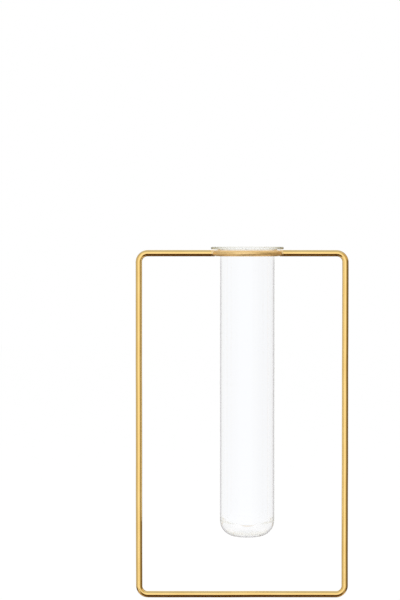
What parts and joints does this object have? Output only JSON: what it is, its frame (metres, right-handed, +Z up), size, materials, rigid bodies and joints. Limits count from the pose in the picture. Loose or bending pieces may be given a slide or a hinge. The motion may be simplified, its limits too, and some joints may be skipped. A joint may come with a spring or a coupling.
{
  "type": "wall hanging vase",
  "caption": "Clear glass tube with a flared lip, hung in a ring welded into the top bar of an upright rectangular gold wire frame; hangs on a wall and holds water and cut stems.",
  "frame": {"origin": "on the axis of the top bar, halfway between the two side bars, where the frame hangs", "axes": "+Z up along the tube, +X along the top bar to the right seen from the front, +Y towards the wall"},
  "size_m": [0.15, 0.0516, 0.2482],
  "materials": {
    "gold_wire": "steel wire with a polished gold-tone electroplate",
    "gold_weld": "smoothed weld bead under the same gold-tone electroplate",
    "clear_glass": "clear colourless glass, fire polished lip"
  },
  "bodies": {
    "frame": {"frame_wire": "gold_wire", "tube_ring": "gold_wire", "weld_left": "gold_weld", "weld_right": "gold_weld"},
    "tube": {"glass_tube": "clear_glass"}
  },
  "joints": [
    {"name": "tube_lift", "type": "slide", "parent": "frame", "child": "tube", "axis": [0, 0, 1], "range_m": [0, 0.21]}
  ]
}
